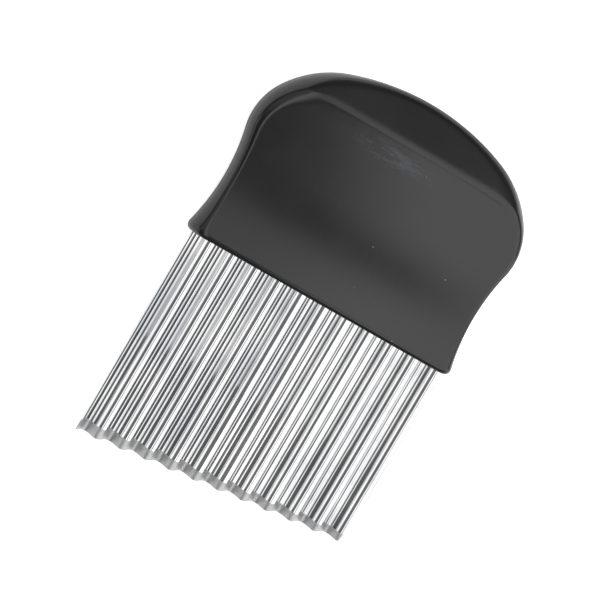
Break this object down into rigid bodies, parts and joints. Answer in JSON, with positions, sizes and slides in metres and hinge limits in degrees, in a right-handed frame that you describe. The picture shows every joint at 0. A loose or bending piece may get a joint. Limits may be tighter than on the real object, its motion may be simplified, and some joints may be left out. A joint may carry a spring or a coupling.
{
  "type": "soap cutter",
  "caption": "Hand-held crinkle cutter for soap bars: a corrugated stainless blade with a slanted, bevelled edge, fixed in a black moulded handle with a thumb scoop.",
  "frame": {"origin": "middle of the bounding box in X and Y, at the level of the back of the handle's ridge, which is the lowest line when the cutter lies on its back", "axes": "+X to the right across the blade, +Y along the cutter from the cutting edge to the dome of the handle, +Z out of the front face"},
  "size_m": [0.0876, 0.1282, 0.0172],
  "materials": {
    "handle_plastic": "moulded near-black plastic with a fine satin texture",
    "blade_steel": "bright rolled stainless sheet with a ground bevel",
    "pin_steel": "turned steel",
    "screw_steel": "zinc-plated steel"
  },
  "bodies": {
    "root": {"handle_front_shell": "handle_plastic", "handle_back_shell": "handle_plastic", "wavy_blade": "blade_steel", "tang_pin_left": "pin_steel", "tang_pin_right": "pin_steel", "screw_lower_left": "screw_steel", "screw_lower_right": "screw_steel", "screw_upper_left": "screw_steel", "screw_upper_right": "screw_steel"}
  },
  "joints": []
}
